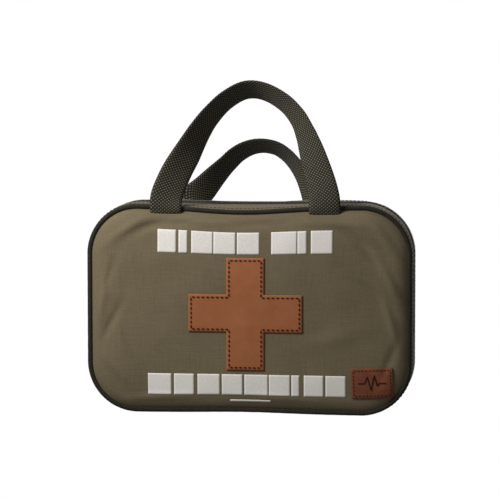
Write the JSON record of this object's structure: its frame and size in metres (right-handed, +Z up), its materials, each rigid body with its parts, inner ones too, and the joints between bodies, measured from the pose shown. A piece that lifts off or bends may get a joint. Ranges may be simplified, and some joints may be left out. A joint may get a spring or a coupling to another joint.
{
  "type": "soft first aid bag",
  "caption": "Soft canvas clamshell first aid bag with piped edges, two webbing handles, a stitched leather cross, a zip round three sides, and pockets and loops holding supplies.",
  "frame": {"origin": "middle of the base, on the fold line between the two halves", "axes": "+Z up; the front panel with the cross faces -Y; +X to the right seen from the front"},
  "size_m": [0.2631, 0.124, 0.262],
  "materials": {
    "canvas_olive": "woven canvas",
    "piping_black": "bound cord",
    "webbing_dark": "woven webbing",
    "leather_brown": "smooth, waxed",
    "thread_dark": "waxed thread",
    "print_white": "screen print",
    "lining_grey": "coated nylon",
    "foam": "closed-cell foam",
    "zip_tape": "woven tape",
    "zip_coil": "nylon coil",
    "zip_metal": "black, satin",
    "mesh_black": "open mesh",
    "clear_vinyl": "clear film",
    "elastic_black": "ribbed elastic",
    "bandage_white": "woven gauze",
    "bandage_tan": "crepe",
    "wrapper_white": "film wrapper",
    "wrapper_blue": "film wrapper",
    "foil_silver": "metallised film",
    "tape_white": "cloth tape",
    "card_core": "card",
    "steel": "satin"
  },
  "bodies": {
    "back_half": {"back_panel": "canvas_olive", "back_foam": "foam", "back_lining": "lining_grey", "back_seam_binding": "piping_black", "back_piping": "piping_black", "back_gusset": "canvas_olive", "back_zip_tape": "zip_tape", "back_zip_coil": "zip_coil", "back_handle_anchors": "webbing_dark", "base_fold_binding": "webbing_dark", "zip_end_stops": "zip_metal", "back_clear_pocket": "clear_vinyl", "clear_pocket_hem": "piping_black", "burn_dressing": "wrapper_blue", "gloves_pack": "wrapper_white", "gauze_pads": "wrapper_white", "plaster_strips": "bandage_tan", "cleansing_wipes": "wrapper_blue", "bandage_roll_wide": "bandage_white", "bandage_roll_narrow": "bandage_white", "elastic_bandage": "bandage_tan", "bandage_loops": "elastic_black", "tape_roll": "tape_white", "tape_core": "card_core", "tape_strap": "elastic_black", "scissors_blade_left": "steel", "scissors_blade_right": "steel", "scissors_rivet": "steel", "tweezers": "steel", "tool_loops": "elastic_black"},
    "front_half": {"front_panel": "canvas_olive", "front_foam": "foam", "front_lining": "lining_grey", "front_seam_binding": "piping_black", "front_piping": "piping_black", "front_gusset": "canvas_olive", "front_zip_tape": "zip_tape", "front_zip_coil": "zip_coil", "front_handle_anchors": "webbing_dark", "leather_cross": "leather_brown", "cross_stitching": "thread_dark", "leather_label": "leather_brown", "label_stitching": "thread_dark", "print_upper": "print_white", "print_lower": "print_white", "print_line": "print_white", "front_mesh_pocket": "mesh_black", "mesh_pocket_elastic": "elastic_black", "triangular_bandage": "bandage_white", "thermal_blanket": "foil_silver"},
    "front_handle": {"front_handle": "webbing_dark"},
    "back_handle": {"back_handle": "webbing_dark"},
    "slider_upper": {"slider_upper": "zip_metal"},
    "slider_lower": {"slider_lower": "zip_metal"},
    "pull_upper": {"pull_upper": "zip_metal"},
    "pull_lower": {"pull_lower": "zip_metal"}
  },
  "joints": [
    {"name": "front_half_fold", "type": "hinge", "parent": "back_half", "child": "front_half", "pos_m": [0, 0, 0], "axis": [1, 0, 0], "range_deg": [0, 170]},
    {"name": "front_handle_swing", "type": "hinge", "parent": "front_half", "child": "front_handle", "pos_m": [-0.002, -0.0406, 0.1672], "axis": [1, 0, 0], "range_deg": [-25, 160]},
    {"name": "back_handle_swing", "type": "hinge", "parent": "back_half", "child": "back_handle", "pos_m": [-0.005, 0.0406, 0.1672], "axis": [-1, 0, 0], "range_deg": [-25, 105]},
    {"name": "slider_upper_slide", "type": "slide", "parent": "back_half", "child": "slider_upper", "axis": [0, 0, 1], "range_m": [0, 0.028]},
    {"name": "slider_lower_slide", "type": "slide", "parent": "back_half", "child": "slider_lower", "axis": [0, 0, -1], "range_m": [0, 0.026]},
    {"name": "pull_upper_swing", "type": "hinge", "parent": "slider_upper", "child": "pull_upper", "pos_m": [-0.1329, 0, 0.0906], "axis": [0, 1, 0], "range_deg": [0, 165]},
    {"name": "pull_lower_swing", "type": "hinge", "parent": "slider_lower", "child": "pull_lower", "pos_m": [-0.1329, 0, 0.0734], "axis": [0, 1, 0], "range_deg": [0, 120]}
  ]
}
